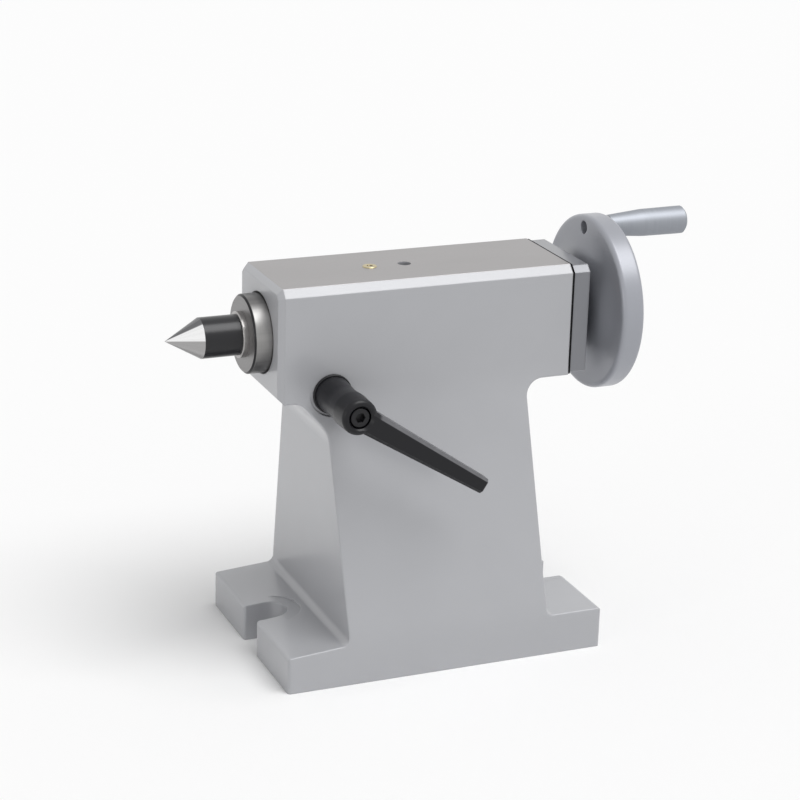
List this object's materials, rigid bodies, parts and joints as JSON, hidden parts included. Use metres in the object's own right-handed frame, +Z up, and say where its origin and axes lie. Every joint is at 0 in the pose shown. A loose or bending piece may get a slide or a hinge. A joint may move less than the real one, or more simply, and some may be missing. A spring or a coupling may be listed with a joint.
{
  "type": "tailstock",
  "caption": "Bench tailstock with a fixed centre on a sliding quill, moved by a cranked handwheel and locked by an adjustable clamp lever, on a slotted base.",
  "frame": {"origin": "middle of the base's underside", "axes": "+X along the quill towards the handwheel, so the centre's point is at -X; -Y towards the clamp lever; +Z up"},
  "size_m": [0.2509, 0.116, 0.1907],
  "materials": {
    "casting": "satin light grey paint with ground flats",
    "ground_steel": "ground",
    "black_steel": "black oxide, satin",
    "bronze": "machined bronze",
    "wheel_metal": "turned, satin",
    "plate_metal": "satin",
    "steel": "turned",
    "bright_aluminium": "satin turned",
    "lever_black": "black, satin",
    "black_rubber": "matte",
    "gasket_fibre": "matte",
    "brass": "turned",
    "spring_steel": "drawn wire"
  },
  "bodies": {
    "frame": {"body_casting": "casting", "rear_cover": "plate_metal", "cover_gasket": "gasket_fibre", "cover_bush": "bronze", "cover_screws": "black_steel", "bearing_race_rear": "ground_steel", "guide_screw": "black_steel", "oiler_body": "brass", "oiler_spring": "spring_steel", "quill_wiper": "black_rubber", "near_cotter": "bronze", "far_cotter": "bronze", "thrust_washer": "bronze"},
    "quill_set": {"quill": "ground_steel", "quill_nut": "bronze", "nut_lock_screw": "black_steel", "dead_centre": "ground_steel"},
    "wheel_set": {"feed_screw": "steel", "handwheel": "wheel_metal", "handwheel_key": "steel", "handwheel_washer": "steel", "handwheel_nut": "steel", "handle_spindle": "steel", "bearing_race_front": "ground_steel"},
    "grip": {"handle_grip": "bright_aluminium"},
    "cage_set": {"bearing_cage": "bronze", "bearing_balls": "ground_steel"},
    "clamp_set": {"clamp_stud": "black_steel", "lever_insert": "black_steel", "lever_screw": "black_steel", "lever_spring": "spring_steel"},
    "lever": {"lever_arm": "lever_black"},
    "oiler_check_ball": {"oiler_ball": "steel"}
  },
  "joints": [
    {"name": "handwheel_turn", "type": "hinge", "parent": "frame", "child": "wheel_set", "pos_m": [0.08, 0, 0.15], "axis": [-1, 0, 0], "range_deg": [-480, 4320]},
    {"name": "quill_slide", "type": "slide", "parent": "frame", "child": "quill_set", "axis": [-1, 0, 0], "range_m": [-0.00401, 0.03601]},
    {"name": "cage_roll", "type": "hinge", "parent": "frame", "child": "cage_set", "pos_m": [0.06, 0, 0.15], "axis": [-1, 0, 0], "range_deg": [-241, 2161]},
    {"name": "grip_spin", "type": "hinge", "parent": "wheel_set", "child": "grip", "pos_m": [0.12, 0.003, 0.18427], "axis": [-1, 0, 0], "continuous": true},
    {"name": "clamp_turn", "type": "hinge", "parent": "frame", "child": "clamp_set", "pos_m": [-0.0483, -0.03, 0.1278], "axis": [0, 1, 0], "range_deg": [-75, 15]},
    {"name": "lever_lift", "type": "slide", "parent": "clamp_set", "child": "lever", "axis": [0, -1, 0], "range_m": [0, 0.0045], "stiffness_N_per_m": 1500, "springref_m": -0.002, "deforming": ["lever_spring"]},
    {"name": "oiler_press", "type": "slide", "parent": "frame", "child": "oiler_check_ball", "axis": [0, 0, -1], "range_m": [0, 0.001], "stiffness_N_per_m": 400, "springref_m": -0.001, "deforming": ["oiler_spring"]}
  ],
  "couplings": [
    {"joint": "quill_slide", "follows": "handwheel_turn", "m_per_rad": 0.00047746},
    {"joint": "cage_roll", "follows": "handwheel_turn", "ratio": 0.5}
  ]
}
